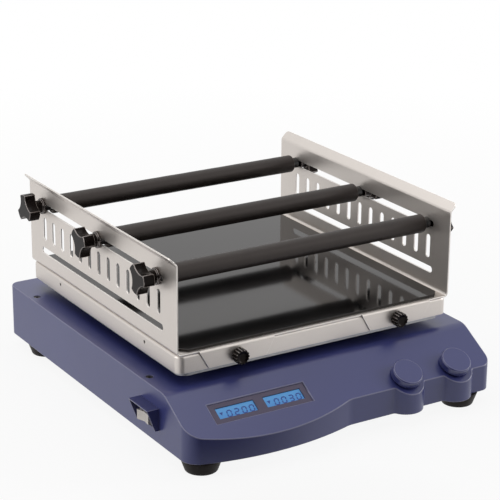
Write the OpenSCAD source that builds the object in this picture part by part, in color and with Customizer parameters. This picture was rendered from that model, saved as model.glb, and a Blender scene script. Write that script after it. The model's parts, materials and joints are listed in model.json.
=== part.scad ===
// Orbital shaker with a bottle carrier.
// Millimetres, +Z up, front at -Y. The origin is on the bench under the middle of the whole outline.
// The modules draw the part round the middle of its housing, and the last lines shift it.
// At rest the platform stands at the front of its orbit.

/* [Housing] */
// Width of the housing
body_w = 370; // [360:1:400]
// Depth of the housing from its rear wall to the tip of its bulged front
body_d = 425; // [418:1:450]
// Height of the housing from its lower edge to its flat top
body_h = 58; // [56:1:70]
// Thickness of the housing's walls
wall_t = 3; // [2:0.5:4]
// Radius of the plain vertical corners
corner_r = 12; // [8:1:18]
// Radius of the front left corner
front_corner_r = 20; // [16:1:28]
// How far the bulged front stands ahead of the straight front
bulge = 14; // [10:1:18]
// Radius of the bulged front, seen from above
bulge_r = 300; // [270:5:320]
// Distance of the bulge's tip to the left of the middle
bulge_x = 88; // [80:1:96]
// Radius of the blend between the bulged front and the straight front
bulge_blend_r = 30; // [10:1:60]
// Slope of the control panel in degrees
panel_angle = 30; // [26:1:33]
// Level distance from the straight front back to the top of the slope
panel_run = 50.5; // [48:0.5:54]
// Radius that blends the flat top into the slope
break_r = 25; // [15:1:30]
// Thickness of the base plate
base_t = 3; // [2:0.5:5]
// Gap round the base plate, inside the walls
base_gap = 0.4; // [0.2:0.1:0.8]

/* [Feet and cover screws] */
// Height of a foot
foot_h = 14; // [10:1:20]
// Radius of a foot where it meets the base plate
foot_top_r = 21.5; // [18:0.5:22]
// Radius of a foot where it meets the bench
foot_low_r = 16.5; // [12:0.5:17]
// Distance of a foot's middle from the side of the housing, before the feet are shifted
foot_side = 27.5; // [26:0.5:40]
// Shift of all feet to the left
foot_shift = 4.5; // [0:0.5:6]
// Distance of a front foot's middle behind the straight front
foot_front = 16.5; // [16:0.5:30]
// Distance of a rear foot's middle ahead of the rear wall
foot_rear = 47; // [25:1:60]
// Distance of a cover screw from the side of the housing
screw_side = 9; // [8.5:0.5:12]
// Distance of the front cover screws behind the top of the slope
screw_front = 44.5; // [44:0.5:60]
// Distance of the rear cover screws ahead of the rear wall
screw_rear = 56; // [40:1:70]
// Radius of a cover screw's recess
recess_r = 4; // [3.5:0.5:5]

/* [Power switch and inlet] */
// Distance of the switch behind the top of the slope
switch_back = 28; // [26:1:40]
// Height of the switch above the lower edge of the housing
switch_z = 25; // [22:0.5:30]
// Length of the switch hood along the wall
hood_l = 39; // [36:0.5:42]
// Height of the switch hood
hood_h = 24; // [22:0.5:28]
// Distance of the hood's middle above the switch
hood_rise = 2; // [0:0.5:4]
// Reach of the hood's upper edge out from the wall
hood_top = 14; // [12:0.5:16]
// Reach of the hood's lower edge out from the wall
hood_low = 5; // [3:0.5:8]
// Thickness of the hood
hood_t = 1.5; // [1:0.5:2.5]
// Length of the rocker
rocker_l = 19; // [17:0.5:21.5]
// Width of the rocker
rocker_w = 10.5; // [10:0.5:13]
// Tilt of the rocker to either side, in degrees
rocker_tilt = 7; // [4:1:8]
// Distance of the mains inlet to the left of the middle
inlet_x = 110; // [90:1:130]
// Height of the mains inlet above the lower edge of the housing
inlet_z = 28; // [24:1:36]

/* [Control panel] */
// Width of the display window
window_w = 112; // [104:1:120]
// Height of the display window along the slope
window_h = 24; // [21:0.5:26]
// Distance of the window's middle to the left of the middle of the housing
window_x = 92.5; // [88:0.5:98]
// Distance of the window's middle down the slope
window_s = 36.5; // [34:0.5:38]
// Depth of the bezel's face below the panel
window_sink = 1.2; // [0.5:0.1:2]
// Width of a display
lcd_w = 44; // [38:0.5:48]
// Height of a display along the slope
lcd_h = 13.2; // [11:0.2:15]
// Distance between the middles of the displays
lcd_pitch = 55; // [52:0.5:58]
// Distance of the speed dial to the right of the middle
speed_x = 77; // [68:0.5:84]
// Distance of the time dial to the right of the middle
time_x = 139.5; // [130:0.5:146]
// Radius of the bosses under the dials
boss_r = 20; // [18:0.5:21]
// Radius of the blend between a boss and the straight front
boss_blend_r = 3; // [1:0.5:6]
// Distance of a boss's axis behind the straight front
boss_inset = 8.5; // [8:0.5:11]
// Radius of a dial
dial_r = 16.5; // [14:0.5:17.5]
// Height of a dial
dial_h = 8.5; // [7:0.5:11]
// Gap under a dial, which leaves room for its push
dial_gap = 1.5; // [1.3:0.1:2.5]
// Radius of a dial's shaft
dial_shaft_r = 3; // [2.5:0.1:3.5]

/* [Drive] */
// Radius of the orbit
orbit_r = 5; // [3:0.5:6]
// Radius of the main crankshaft
main_shaft_r = 6; // [5:0.5:8]
// Radius of a support crank's shaft
support_shaft_r = 5; // [4:0.5:6]
// Radius of the eccentric pins
pin_r = 5; // [4:0.5:6]
// Radial running clearance of every shaft and pin
run_gap = 0.05; // [0.02:0.01:0.09]
// Thickness of a bearing's two rings and balls together, from bore to outside
bearing_wall = 8; // [6:0.5:9]
// Width of a bearing
bearing_h = 8; // [6:0.5:9]
// Height of the main bearing block
main_block_h = 28; // [26:1:32]
// Height of a support bearing block
support_block_h = 45; // [30:1:46]
// Distance between neighbouring support cranks
support_span = 230; // [210:1:240]
// Distance of the motor's axis ahead of the crankshaft
motor_span = 112; // [105:1:120]
// Radius of the motor
motor_r = 39; // [30:1:42]
// Height of the motor
motor_h = 26; // [20:1:27]
// Groove radius of the drive pulley
drive_pulley_r = 42; // [36:1:46]
// Groove radius of the motor pulley
motor_pulley_r = 14; // [12:1:18]
// Width of the drive belt
belt_w = 8; // [6:0.5:9]
// Thickness of the drive belt
belt_t = 1.6; // [1.2:0.1:2.5]
// Reach of the counterweight from the crankshaft
weight_r = 46; // [35:1:50]
// Thickness of the counterweight
weight_h = 7; // [5:0.5:7.5]

/* [Platform] */
// Width of the platform
platform_w = 330; // [320:1:340]
// Depth of the platform
platform_d = 330; // [320:1:336]
// Height of the platform's skirt
skirt_h = 19; // [17:0.5:26]
// Gap between the housing's top and the skirt
skirt_gap = 13; // [12:0.5:18]
// Least distance from the platform to the rear of the housing, seen from above, during the orbit
rear_margin = 14.5; // [10:0.5:20]
// Thickness of the platform's sheet
sheet_t = 2; // [1.5:0.1:2.5]
// Radius of the platform's vertical corners
platform_r = 8; // [6:0.5:12]
// Radius of the platform's top edge
platform_edge_r = 3; // [2:0.5:4]
// Width of the square moving frame
frame_w = 320; // [290:1:324]
// Thickness of the moving frame
frame_t = 5; // [4:0.5:6]
// Distance between the side screws along the skirt
side_screw_span = 192; // [150:1:200]
// Distance of the side screws below the platform's top
side_screw_drop = 7.5; // [6:0.5:9]

/* [Carrier] */
// Thickness of the carrier's sheet
carrier_t = 1.5; // [1:0.1:2]
// Distance across the outsides of the carrier's walls
carrier_w = 332; // [322:1:342]
// Height of a wall from the platform up to its flared edge
carrier_h = 93; // [88:1:110]
// Inside radius of the carrier's bends
bend_r = 3; // [2:0.5:4]
// Length of the flared edge
flare_l = 10; // [6:0.5:14]
// Angle of the flared edge away from the wall, in degrees
flare_angle = 43; // [30:1:50]
// Radius of the flared edge's end corners
flare_corner_r = 5; // [3:0.5:6]
// Width of all slots
slot_w = 7; // [6.4:0.1:8]
// Length of the two long slots
long_slot_l = 274; // [272:1:290]
// Height of the upper slot, where the bars are clamped, above the platform
upper_slot_z = 73; // [68:1:78]
// Height of the lower slot above the platform
lower_slot_z = 21.5; // [18:0.5:24]
// Number of upright slots in a wall
upright_count = 13; // [9:2:13]
// Distance between neighbouring upright slots
upright_pitch = 21.4; // [18:0.1:22]
// Length of an upright slot
upright_l = 26; // [20:1:28]
// Height of the middle of an upright slot above the platform
upright_z = 47; // [46:0.5:49]
// Distance of a tab's middle from the middle of the carrier
tab_x = 97.5; // [90:0.5:105]
// Width of a tab where it leaves the carrier's plate
tab_top_w = 87; // [70:1:100]
// Width of a tab at its lower edge
tab_low_w = 67; // [50:1:70]
// Distance of a tab's lower edge below the platform's top
tab_h = 18; // [16:0.5:18.5]
// Gap between a tab and the skirt
tab_gap = 0.5; // [0.4:0.1:0.8]
// Distance of the mat from the carrier's walls
mat_inset = 6; // [5:0.5:10]
// Distance of the mat from the carrier's open ends
mat_end = 4; // [2:0.5:10]
// Size of the mat's cut corners
mat_corner = 8; // [4:1:12]
// Thickness of the mat
mat_t = 2.5; // [1.5:0.5:4]

/* [Bars and screws] */
// Distance of the front bar ahead of the platform's middle
bar_front = 126; // [118:1:128]
// Distance of the middle bar behind the platform's middle
bar_middle = 1; // [-5:1:8]
// Distance of the rear bar behind the platform's middle
bar_rear = 132; // [126:1:132]
// Radius of a bar's rod
rod_r = 6; // [5:0.5:7]
// Radius of a bar's rubber sleeve
sleeve_r = 10; // [8:0.5:12]
// Distance of a sleeve's ends from the walls
sleeve_end = 7.5; // [5:0.5:12]
// Radius of a bar's threaded ends
stud_r = 3; // [2.5:0.1:3]
// Length of a clamp knob out from the wall
knob_reach = 23; // [20:0.5:28]
// Radius of a clamp knob across its lobes
knob_r = 16; // [14:0.5:17]
// Distance of a clamp knob's hollow sides from its axis
knob_waist = 9; // [7.5:0.5:9.5]
// Width of a lobe at its end
lobe_w = 12; // [8:0.5:13]
// Thickness of the lobes
lobe_t = 12.5; // [8:0.5:14]
// Gap between the clamped pieces and the wall
clamp_gap = 0.3; // [0.3:0.05:0.6]
// Radius of a thumbscrew's head
thumb_r = 8; // [6:0.5:10]
// Length of a thumbscrew's head
thumb_l = 10; // [7:0.5:12]
// Radius of a thumbscrew's thread
thumb_stud_r = 2.5; // [2:0.1:3]
// Distance of the thumbscrews below the platform's top
thumb_drop = 10; // [9:0.5:12]

/* [Hidden] */
$fn = 64;

// Colours
paint = [0.29, 0.30, 0.47];
silver = [0.78, 0.77, 0.75];
steel = [0.62, 0.63, 0.65];
black = [0.07, 0.07, 0.08];
smoke = [0.28, 0.26, 0.34];
backlight = [0.31, 0.59, 0.83];
ivory = [0.86, 0.86, 0.86];

// Levels, from the bench up
z_base = foot_h;
z_floor = z_base + base_t;
z_top = z_base + body_h;
z_ceiling = z_top - wall_t;
web_gap = 2;
web_t = 5;
z_web = z_top + web_gap;
frame_gap = 1;
z_frame = z_web + web_t + frame_gap;
z_skirt = z_top + skirt_gap;
z_platform = z_skirt + skirt_h;
z_plate = z_platform + carrier_t;
z_upper_slot = z_platform + upper_slot_z;

// Shift of the whole part, whose origin is under the middle of its outline
x_left = body_w / 2 + hood_top;
x_right = max(body_w / 2, carrier_w / 2 + clamp_gap + knob_reach);
x_origin = (x_left - x_right) / 2;

// Places along Y
y_rear = body_d / 2;
y_front = -body_d / 2;
y_straight = y_front + bulge;
y_break = y_straight + panel_run;
y_boss = y_straight + boss_inset;
y_crank = y_rear - rear_margin - orbit_r - platform_d / 2;
y_platform = y_crank - orbit_r;
y_motor = y_crank - motor_span;
y_switch = y_break + switch_back;
y_bars = [y_platform - bar_front, y_platform + bar_middle, y_platform + bar_rear];

// Overlap of round forms that run into each other
lap = 0.01;

// Bulged front and its corner
bulge_centre = [-bulge_x, y_front + bulge_r];
front_corner_x = front_corner_r - body_w / 2;
front_corner = [
    front_corner_x,
    bulge_centre.y - sqrt(pow(bulge_r - front_corner_r + lap, 2) - pow(front_corner_x + bulge_x, 2))
];

// Dials: each is pushed along the panel's normal
dial_s = (y_break - y_boss) / cos(panel_angle);
dial_z = dial_gap + dial_h;
dial_cap = 3;
dial_bore_z = dial_z - dial_cap;
dial_foot_edge = 0.8;
dial_edge = 1.2;
dial_hole_gap = 0.6;
encoder_w = 14;
encoder_h = 9;
encoder_lid = 1;
collar_wall = 1.5;
collar_r = dial_shaft_r + collar_wall;
collar_h = 3;
collar_gap = 0.1;

// Cover screws: the head lies at the bottom of a cup under the top
cup_wall = 3;
cup_r = recess_r + cup_wall;
cup_floor = 2;
cup_drop = 2.5;
z_cup = z_ceiling - cup_drop;
screw_head_gap = 0.5;
screw_head_r = recess_r - screw_head_gap;
screw_head_h = 3;
screw_r = 2;
screw_gap = 0.3;
screw_l = 10;
post_r = 3.5;
cover_screw_places = [
    for (s = [-1, 1], y = [y_break + screw_front, y_rear - screw_rear]) [s * (body_w / 2 - screw_side), y]
];
foot_places = [
    for (s = [-1, 1], y = [y_straight + foot_front, y_rear - foot_rear])
        [s * (body_w / 2 - foot_side) - foot_shift, y]
];

// Switch: its body passes the wall and its flange lies in the hood
switch_fit = 0.3;
switch_flange_t = 1.5;
switch_flange_h = 20;
switch_ear = 1.2;
switch_cavity = [11, rocker_l + 2, rocker_w + 2 * switch_fit];
switch_size = [20, switch_cavity.y + 2 * switch_ear, switch_cavity.z + 2 * switch_ear];
rocker_back = 4;
rocker_end = 9;
rocker_valley = 7;
rocker_pin_r = 1.2;
rocker_pin_gap = 0.1;
rocker_pin_l = switch_cavity.z + 1.4 * switch_ear;

// Bearings and shafts
pin_bearing_r = pin_r + bearing_wall;
main_bearing_r = main_shaft_r + bearing_wall;
support_bearing_r = support_shaft_r + bearing_wall;
bearing_step = 3;
shaft_hole_gap = 3;
support_places = [
    for (y = [-1, 1], x = [-1, 1]) [x * support_span / 2, y_crank + y * support_span / 2]
];
hub_lip = 1.5;
hub_wall = 5;
hub_rim = 4;
hub_h = hub_lip + bearing_h + hub_rim;
pin_end = 1.5;
pin_top = z_frame + hub_lip + bearing_h + pin_end;
seat_lip = 2;
block_flange = 8;
block_flange_t = 5;
web_rim = 3;

// Belt drive
pulley_flange = 4;
pulley_flange_t = 1.5;
belt_gap = 0.3;
pulley_h = belt_w + 2 * belt_gap + 2 * pulley_flange_t;
pulley_lift = 1.5;
z_pulley = z_floor + main_block_h + pulley_lift;
weight_gap = 0.5;
z_belt = z_pulley + pulley_flange_t + belt_gap;
motor_shaft_r = 4;

// Carrier
bend_out = bend_r + carrier_t;
z_bend = z_platform + carrier_h;
tab_bend_r = tab_gap + carrier_t;
tab_hole_gap = 0.5;
inner_x = carrier_w / 2 - carrier_t;
bracket_w = 28;
bracket_l = 30;

// Rectangle with round corners
module round_rect(w, d, r) {
    square([w - 2 * r, d], center = true);
    square([w, d - 2 * r], center = true);
    for (x = [-1, 1], y = [-1, 1])
        translate([x * (w / 2 - r), y * (d / 2 - r)]) circle(r);
}

// Slot with round ends, its long side along X
module obround(l, w) {
    square([l - w, w], center = true);
    for (x = [-1, 1]) translate([x * (l - w) / 2, 0]) circle(w / 2);
}

// Part of a ring between two angles less than 180 degrees apart
module ring_sector(r_in, r_out, from, to) {
    middle = (from + to) / 2;
    reach = 2 * r_out;
    intersection() {
        difference() {
            circle(r_out);
            circle(r_in);
        }
        polygon([
            [0, 0],
            reach * [cos(from), sin(from)],
            reach * [cos(middle), sin(middle)],
            reach * [cos(to), sin(to)]
        ]);
    }
}

// Outline of the housing from above, drawn in by a distance
module housing_plan(in) {
    w = body_w - 2 * in;
    d = y_rear - y_straight - 2 * in;
    r = corner_r - in;
    difference() {
        union() {
            translate([0, (y_rear + y_straight) / 2]) round_rect(w, d, r);
            translate([-w / 2, y_straight + in]) square(2 * r);
            intersection() {
                translate(bulge_centre) circle(bulge_r - in);
                translate([-w / 2, y_front]) square([w, body_d / 2]);
            }
            for (x = [speed_x, time_x]) translate([x, y_boss]) circle(boss_r - in);
            front_blend(bulge_centre, bulge_r, 1, bulge_blend_r, in);
            for (x = [speed_x, time_x], s = [-1, 1])
                front_blend([x, y_boss], boss_r, s, boss_blend_r, in);
        }
        front_corner_waste(in);
    }
}

// Fills the notch where a round swell meets the straight front, on its left (-1) or right (1) side
module front_blend(centre, r, side, blend_r, in) {
    level = y_straight - blend_r;
    reach = sqrt(pow(r + blend_r - lap, 2) - pow(centre.y - level, 2));
    middle = [centre.x + side * reach, level];
    seat = in + 1;
    difference() {
        polygon([
            middle,
            centre + (r - seat) / (r + blend_r) * (middle - centre),
            [centre.x + side * sqrt(r * r - pow(centre.y - y_straight, 2)), y_straight + 3 * seat],
            [middle.x, y_straight + seat]
        ]);
        translate(middle) circle(blend_r + in);
    }
}

// What is cut away to round the front left corner into the bulge
module front_corner_waste(in) {
    reach = 3 * front_corner_r;
    outward = (front_corner - bulge_centre) / norm(front_corner - bulge_centre);
    translate(front_corner) difference() {
        polygon([[0, 0], [-reach, 0], [-reach, -reach], reach * outward]);
        circle(front_corner_r - in);
    }
}

// Outline of the housing from the side, with Y across and Z up, drawn in by a distance
module housing_profile(in) {
    shift = tan(panel_angle / 2);
    corner = [y_break + in * shift, z_top - in];
    past = 2;
    front = y_front - past;
    rear = y_rear + past;
    reach = break_r + past;
    difference() {
        polygon([
            [rear, z_base - in],
            [rear, corner.y],
            corner,
            [front, corner.y - (corner.x - front) * tan(panel_angle)],
            [front, z_base - in]
        ]);
        translate([y_break + break_r * shift, z_top - break_r]) difference() {
            polygon([
                [0, 0], [0, reach], reach * [-shift, 1],
                reach * [-sin(panel_angle), cos(panel_angle)]
            ]);
            circle(break_r - in + lap);
        }
    }
}

// Solid form of the housing, drawn in by a distance
module housing_form(in) {
    intersection() {
        translate([0, 0, z_base - in]) linear_extrude(body_h) housing_plan(in);
        rotate([90, 0, 90]) linear_extrude(body_w, center = true) housing_profile(in);
    }
}

// Frame on the sloping panel: Y up the slope from the break, Z along its normal
module on_panel(x, s) {
    translate([0, y_break, z_top]) rotate([panel_angle, 0, 0]) translate([x, -s, 0]) children();
}

module at_switch() {
    translate([-body_w / 2, y_switch, z_base + switch_z]) children();
}

module at_inlet() {
    translate([-inlet_x, y_rear, z_base + inlet_z]) children();
}

module housing() color(paint) difference() {
    union() {
        difference() {
            housing_form(0);
            housing_form(wall_t);
        }
        for (p = cover_screw_places) translate([p.x, p.y, z_cup])
            cylinder(r = cup_r, h = z_ceiling - z_cup + 1);
    }
    for (p = cover_screw_places) translate(p) {
        translate([0, 0, z_cup + cup_floor]) cylinder(r = recess_r, h = body_h);
        translate([0, 0, z_cup - 1]) cylinder(r = screw_r + screw_gap, h = cup_floor + 2);
    }
    translate([0, y_crank, z_ceiling - 1]) cylinder(r = main_shaft_r + shaft_hole_gap, h = wall_t + 2);
    for (p = support_places) translate([p.x, p.y, z_ceiling - 1])
        cylinder(r = support_shaft_r + shaft_hole_gap, h = wall_t + 2);
    on_panel(-window_x, window_s) cube([window_w, window_h, 3 * wall_t], center = true);
    for (x = [speed_x, time_x]) on_panel(x, dial_s)
        cylinder(r = dial_shaft_r + dial_hole_gap, h = 3 * wall_t, center = true);
    at_switch() cube([3 * wall_t, switch_size.y, switch_size.z], center = true);
    at_inlet() cube([inlet_size.x, 3 * wall_t, inlet_size.z], center = true);
}

module base_plate() color(steel) difference() {
    union() {
        translate([0, 0, z_base]) linear_extrude(base_t) housing_plan(wall_t + base_gap);
        for (p = cover_screw_places) translate([p.x, p.y, z_floor])
            cylinder(r = post_r, h = z_cup - z_floor);
    }
    for (p = cover_screw_places) translate([p.x, p.y, z_cup + cup_floor - screw_l - 2])
        cylinder(r = screw_r, h = screw_l + 2);
}

module feet() color(black) for (p = foot_places) translate(p) difference() {
    cylinder(r1 = foot_low_r, r2 = foot_top_r, h = foot_h);
    translate([0, 0, -1]) cylinder(r = foot_low_r / 2, h = foot_h / 3 + 1);
}

module cover_screws() color(black) for (p = cover_screw_places)
    translate([p.x, p.y, z_cup + cup_floor]) difference() {
        union() {
            cylinder(r = screw_head_r, h = screw_head_h);
            translate([0, 0, -screw_l]) cylinder(r = screw_r, h = screw_l + 1);
        }
        translate([0, 0, screw_head_h / 2]) cylinder(r = screw_head_r / 2, h = screw_head_h, $fn = 6);
    }

// Hood over the switch: a roof between two cheeks, open below
module switch_hood() color(paint) at_switch() translate([0, 0, hood_rise]) rotate([90, 0, 0]) difference() {
    linear_extrude(hood_l, center = true) polygon([
        [0, -hood_h / 2], [-hood_low, -hood_h / 2], [-hood_top, hood_h / 2], [0, hood_h / 2]
    ]);
    translate([0, -hood_t, 0]) cube([3 * hood_top, hood_h, hood_l - 2 * hood_t], center = true);
}

module switch_body() color(black) at_switch() difference() {
    union() {
        translate([0, -switch_size.y / 2, -switch_size.z / 2]) cube(switch_size);
        translate([-switch_flange_t / 2, 0, 0])
            cube([switch_flange_t, hood_l - 2 * hood_t - 2 * switch_fit, switch_flange_h], center = true);
    }
    translate([-switch_flange_t - 1, -switch_cavity.y / 2, -switch_cavity.z / 2])
        cube(switch_cavity + [switch_flange_t + 1, 0, 0]);
    cylinder(r = rocker_pin_r + run_gap, h = rocker_pin_l + 2 * rocker_pin_gap, center = true);
}

// The rocker's outer face is a shallow V, with one half pressed in at rest
module power_rocker() color(ivory) at_switch() {
    rotate([0, 0, rocker_tilt]) linear_extrude(rocker_w, center = true) polygon([
        [rocker_back, -rocker_l / 2], [rocker_back, rocker_l / 2],
        [-rocker_end, rocker_l / 2], [-rocker_valley, 0], [-rocker_end, -rocker_l / 2]
    ]);
    cylinder(r = rocker_pin_r, h = rocker_pin_l, center = true);
}

// Inlet for a mains lead: a shroud with three blades
inlet_size = [28, 22, 20];
inlet_flange = [34, 1.5, 25];
inlet_wall = 2;
inlet_depth = 17;
inlet_blade = [2, 12, 4];
inlet_blade_root = 0.5;
inlet_blade_places = [[-7, -2], [0, 3], [7, -2]];
module mains_inlet() color(black) at_inlet() {
    difference() {
        union() {
            translate([0, -inlet_size.y / 2, 0]) cube(inlet_size, center = true);
            translate([0, inlet_flange.y / 2, 0]) cube(inlet_flange, center = true);
        }
        translate([0, inlet_flange.y + 1 - (inlet_depth + 1) / 2, 0]) cube([
            inlet_size.x - 2 * inlet_wall, inlet_depth + 1, inlet_size.z - 2 * inlet_wall
        ], center = true);
    }
    for (p = inlet_blade_places)
        translate([p.x, inlet_flange.y - inlet_depth + inlet_blade.y / 2 - inlet_blade_root, p.y])
            cube(inlet_blade, center = true);
}

// Display window: a sunk bezel with a rim behind the panel
window_fit = 0.2;
window_rim = 3;
rim_t = 2;
lcd_sink = 1;
module display_bezel() color(smoke) on_panel(-window_x, window_s) difference() {
    union() {
        translate([0, 0, -(wall_t + window_sink) / 2])
            cube([window_w - 2 * window_fit, window_h - 2 * window_fit, wall_t - window_sink], center = true);
        translate([0, 0, -wall_t - rim_t / 2])
            cube([window_w + 2 * window_rim, window_h + 2 * window_rim, rim_t], center = true);
    }
    for (s = [-1, 1]) translate([s * lcd_pitch / 2, 0, -wall_t])
        cube([lcd_w, lcd_h, 4 * wall_t], center = true);
}

module display(side) color(backlight) on_panel(-window_x + side * lcd_pitch / 2, window_s) {
    h = wall_t + rim_t - window_sink - lcd_sink;
    translate([0, 0, h / 2 - wall_t - rim_t])
        cube([lcd_w - 2 * window_fit, lcd_h - 2 * window_fit, h], center = true);
}

module speed_display() display(-1);

module time_display() display(1);

board_t = 1.6;
module control_board() color("darkgreen") on_panel(-window_x, window_s)
    translate([0, 0, -wall_t - rim_t - board_t / 2]) cube([window_w, window_h, board_t], center = true);

supply_size = [66, 104, 38];
supply_side = 37;
module power_supply() color(silver)
    translate([supply_side - body_w / 2, y_crank - supply_size.y / 2, z_floor]) cube(supply_size);

// Encoder behind the panel: its collar slides in, and its shaft turns in the collar
module encoder(x) color(steel) on_panel(x, dial_s) translate([0, 0, -wall_t]) difference() {
    translate([0, 0, -encoder_h / 2]) cube([encoder_w, encoder_w, encoder_h], center = true);
    translate([0, 0, -encoder_h + encoder_lid])
        cylinder(r = collar_r + collar_gap, h = encoder_h - 2 * encoder_lid);
    translate([0, 0, -2 * encoder_lid]) cylinder(r = dial_shaft_r + dial_hole_gap, h = 3 * encoder_lid);
}

module push_collar(x) color(ivory) on_panel(x, dial_s)
    translate([0, 0, -wall_t - 2 * encoder_lid - collar_h]) difference() {
        cylinder(r = collar_r, h = collar_h);
        translate([0, 0, -1]) cylinder(r = dial_shaft_r + run_gap, h = collar_h + 2);
    }

module dial_shaft(x) color(steel) on_panel(x, dial_s) {
    low = -wall_t - 2 * encoder_lid - collar_h - 1;
    translate([0, 0, low]) cylinder(r = dial_shaft_r, h = dial_bore_z - low);
}

// Dial with a flat top and broken edges
module dial(x) color(paint) on_panel(x, dial_s) rotate_extrude() polygon([
    [dial_shaft_r, dial_gap], [dial_r - dial_foot_edge, dial_gap], [dial_r, dial_gap + dial_foot_edge],
    [dial_r, dial_z - dial_edge], [dial_r - dial_edge, dial_z], [0, dial_z],
    [0, dial_bore_z], [dial_shaft_r, dial_bore_z]
]);

module speed_encoder() encoder(speed_x);

module speed_push_collar() push_collar(speed_x);

module speed_shaft() dial_shaft(speed_x);

module speed_knob() dial(speed_x);

module time_encoder() encoder(time_x);

module time_push_collar() push_collar(time_x);

module time_shaft() dial_shaft(time_x);

module time_knob() dial(time_x);

motor_flange = 3;
motor_flange_t = 4;
motor_bore = motor_h - motor_flange_t;
module motor() color(black) translate([0, y_motor, z_floor]) difference() {
    union() {
        cylinder(r = motor_r + motor_flange, h = motor_flange_t);
        cylinder(r = motor_r, h = motor_h);
    }
    translate([0, 0, motor_h - motor_bore]) cylinder(r = motor_shaft_r + run_gap, h = motor_bore + 1);
}

module motor_shaft() color(steel) translate([0, y_motor, z_floor + motor_h - motor_bore + 1])
    cylinder(r = motor_shaft_r, h = z_pulley + pulley_h - z_floor - motor_h + motor_bore - 1);

// Flanged belt pulley on its shaft
module pulley(groove_r, bore_r) {
    low = pulley_flange_t;
    high = pulley_h - pulley_flange_t;
    rim = groove_r + pulley_flange;
    translate([0, 0, z_pulley]) rotate_extrude() polygon([
        [bore_r, 0], [rim, 0], [rim, low], [groove_r, low], [groove_r, high],
        [rim, high], [rim, pulley_h], [bore_r, pulley_h]
    ]);
}

module motor_pulley() color(steel) translate([0, y_motor]) pulley(motor_pulley_r, motor_shaft_r);

module drive_pulley() color(steel) translate([0, y_crank]) pulley(drive_pulley_r, main_shaft_r);

// Belt: an arc on each pulley, and straight runs that reach a little way into both arcs
belt_lap = 1;
run_inset = 0.1;
module belt_arc(groove_r, from, angle) {
    rotate([0, 0, from]) rotate_extrude(angle = angle)
        translate([groove_r + belt_gap, 0]) square([belt_t, belt_w]);
}

module drive_belt() color(black) {
    lean = asin((drive_pulley_r - motor_pulley_r) / motor_span);
    run = motor_span * cos(lean);
    translate([0, y_crank, z_belt]) {
        belt_arc(drive_pulley_r, -lean, 180 + 2 * lean);
        for (s = [0, 1]) mirror([s, 0, 0]) rotate([0, 0, -lean])
            translate([drive_pulley_r + belt_gap + run_inset, -run - belt_lap, 0])
                cube([belt_t - 2 * run_inset, run + 2 * belt_lap, belt_w]);
    }
    translate([0, y_motor, z_belt]) belt_arc(motor_pulley_r, 180 + lean, 180 - 2 * lean);
}

// Crank: a shaft, a round web and an eccentric pin
module crank(place, shaft_r) color(steel) translate(place) {
    web_r = (orbit_r + shaft_r + pin_r) / 2 + web_rim;
    translate([0, 0, z_floor + 1]) cylinder(r = shaft_r, h = z_web - z_floor);
    translate([0, -orbit_r / 2, z_web]) cylinder(r = web_r, h = web_t);
    translate([0, -orbit_r, z_web]) cylinder(r = pin_r, h = pin_top - z_web);
}

module crankshaft() crank([0, y_crank], main_shaft_r);

module support_crank(i) crank(support_places[i], support_shaft_r);

module support_crank_front_left() support_crank(0);

module support_crank_front_right() support_crank(1);

module support_crank_rear_left() support_crank(2);

module support_crank_rear_right() support_crank(3);

// Half disc on the side away from the eccentric pin
module counterweight() color(steel) translate([0, y_crank, z_pulley + pulley_h + weight_gap])
    linear_extrude(weight_h) difference() {
        union() {
            circle(2 * main_shaft_r);
            intersection() {
                circle(weight_r);
                translate([-weight_r, 0]) square([2 * weight_r, weight_r]);
            }
        }
        circle(main_shaft_r);
    }

// Bearing block: a flanged tube with a bearing seat at each end
module bearing_block(place, seat_r, h) {
    seat = bearing_step + bearing_h;
    translate([place.x, place.y, z_floor]) difference() {
        union() {
            cylinder(r = seat_r + hub_wall + block_flange, h = block_flange_t);
            cylinder(r = seat_r + hub_wall, h = h);
        }
        translate([0, 0, -1]) cylinder(r = seat_r - seat_lip, h = h + 2);
        translate([0, 0, -1]) cylinder(r = seat_r, h = seat + 1);
        translate([0, 0, h - bearing_h - 1]) cylinder(r = seat_r, h = bearing_h + 2);
    }
}

module crank_bearing_block() color(silver) bearing_block([0, y_crank], main_bearing_r, main_block_h);

module support_bearing_blocks() color(silver) for (p = support_places)
    bearing_block(p, support_bearing_r, support_block_h);

module bearing(bore_r, seat_r) rotate_extrude()
    translate([bore_r + run_gap, 0]) square([seat_r - bore_r - run_gap, bearing_h]);

// The two bearings of a block
module bearing_pair(place, bore_r, seat_r, h) {
    for (z = [bearing_step, h - bearing_h - 1])
        translate([place.x, place.y, z_floor + z]) bearing(bore_r, seat_r);
}

module base_bearings() color(steel) {
    bearing_pair([0, y_crank], main_shaft_r, main_bearing_r, main_block_h);
    for (p = support_places) bearing_pair(p, support_shaft_r, support_bearing_r, support_block_h);
}

// Places of the eccentric pins at rest
pin_places = [for (p = concat([[0, y_crank]], support_places)) [p.x, p.y - orbit_r]];

frame_corner_r = 10;
module moving_frame() color(steel) difference() {
    union() {
        translate([0, y_platform, z_frame]) linear_extrude(frame_t)
            round_rect(frame_w, frame_w, frame_corner_r);
        for (p = pin_places) translate([p.x, p.y, z_frame]) cylinder(r = pin_bearing_r + hub_wall, h = hub_h);
    }
    for (p = pin_places) translate([p.x, p.y, z_frame]) {
        translate([0, 0, -1]) cylinder(r = pin_bearing_r - seat_lip, h = hub_h + 2);
        translate([0, 0, hub_lip]) cylinder(r = pin_bearing_r, h = hub_h);
    }
}

module frame_bearings() color(steel) for (p = pin_places)
    translate([p.x, p.y, z_frame + hub_lip]) bearing(pin_r, pin_bearing_r);

side_screw_places = [
    for (s = [-1, 1], y = [-1, 1])
        [s * platform_w / 2, y_platform + y * side_screw_span / 2, z_platform - side_screw_drop]
];
side_screw_r = 1.8;
side_screw_l = 12;
side_screw_sink = 0.8;

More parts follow.
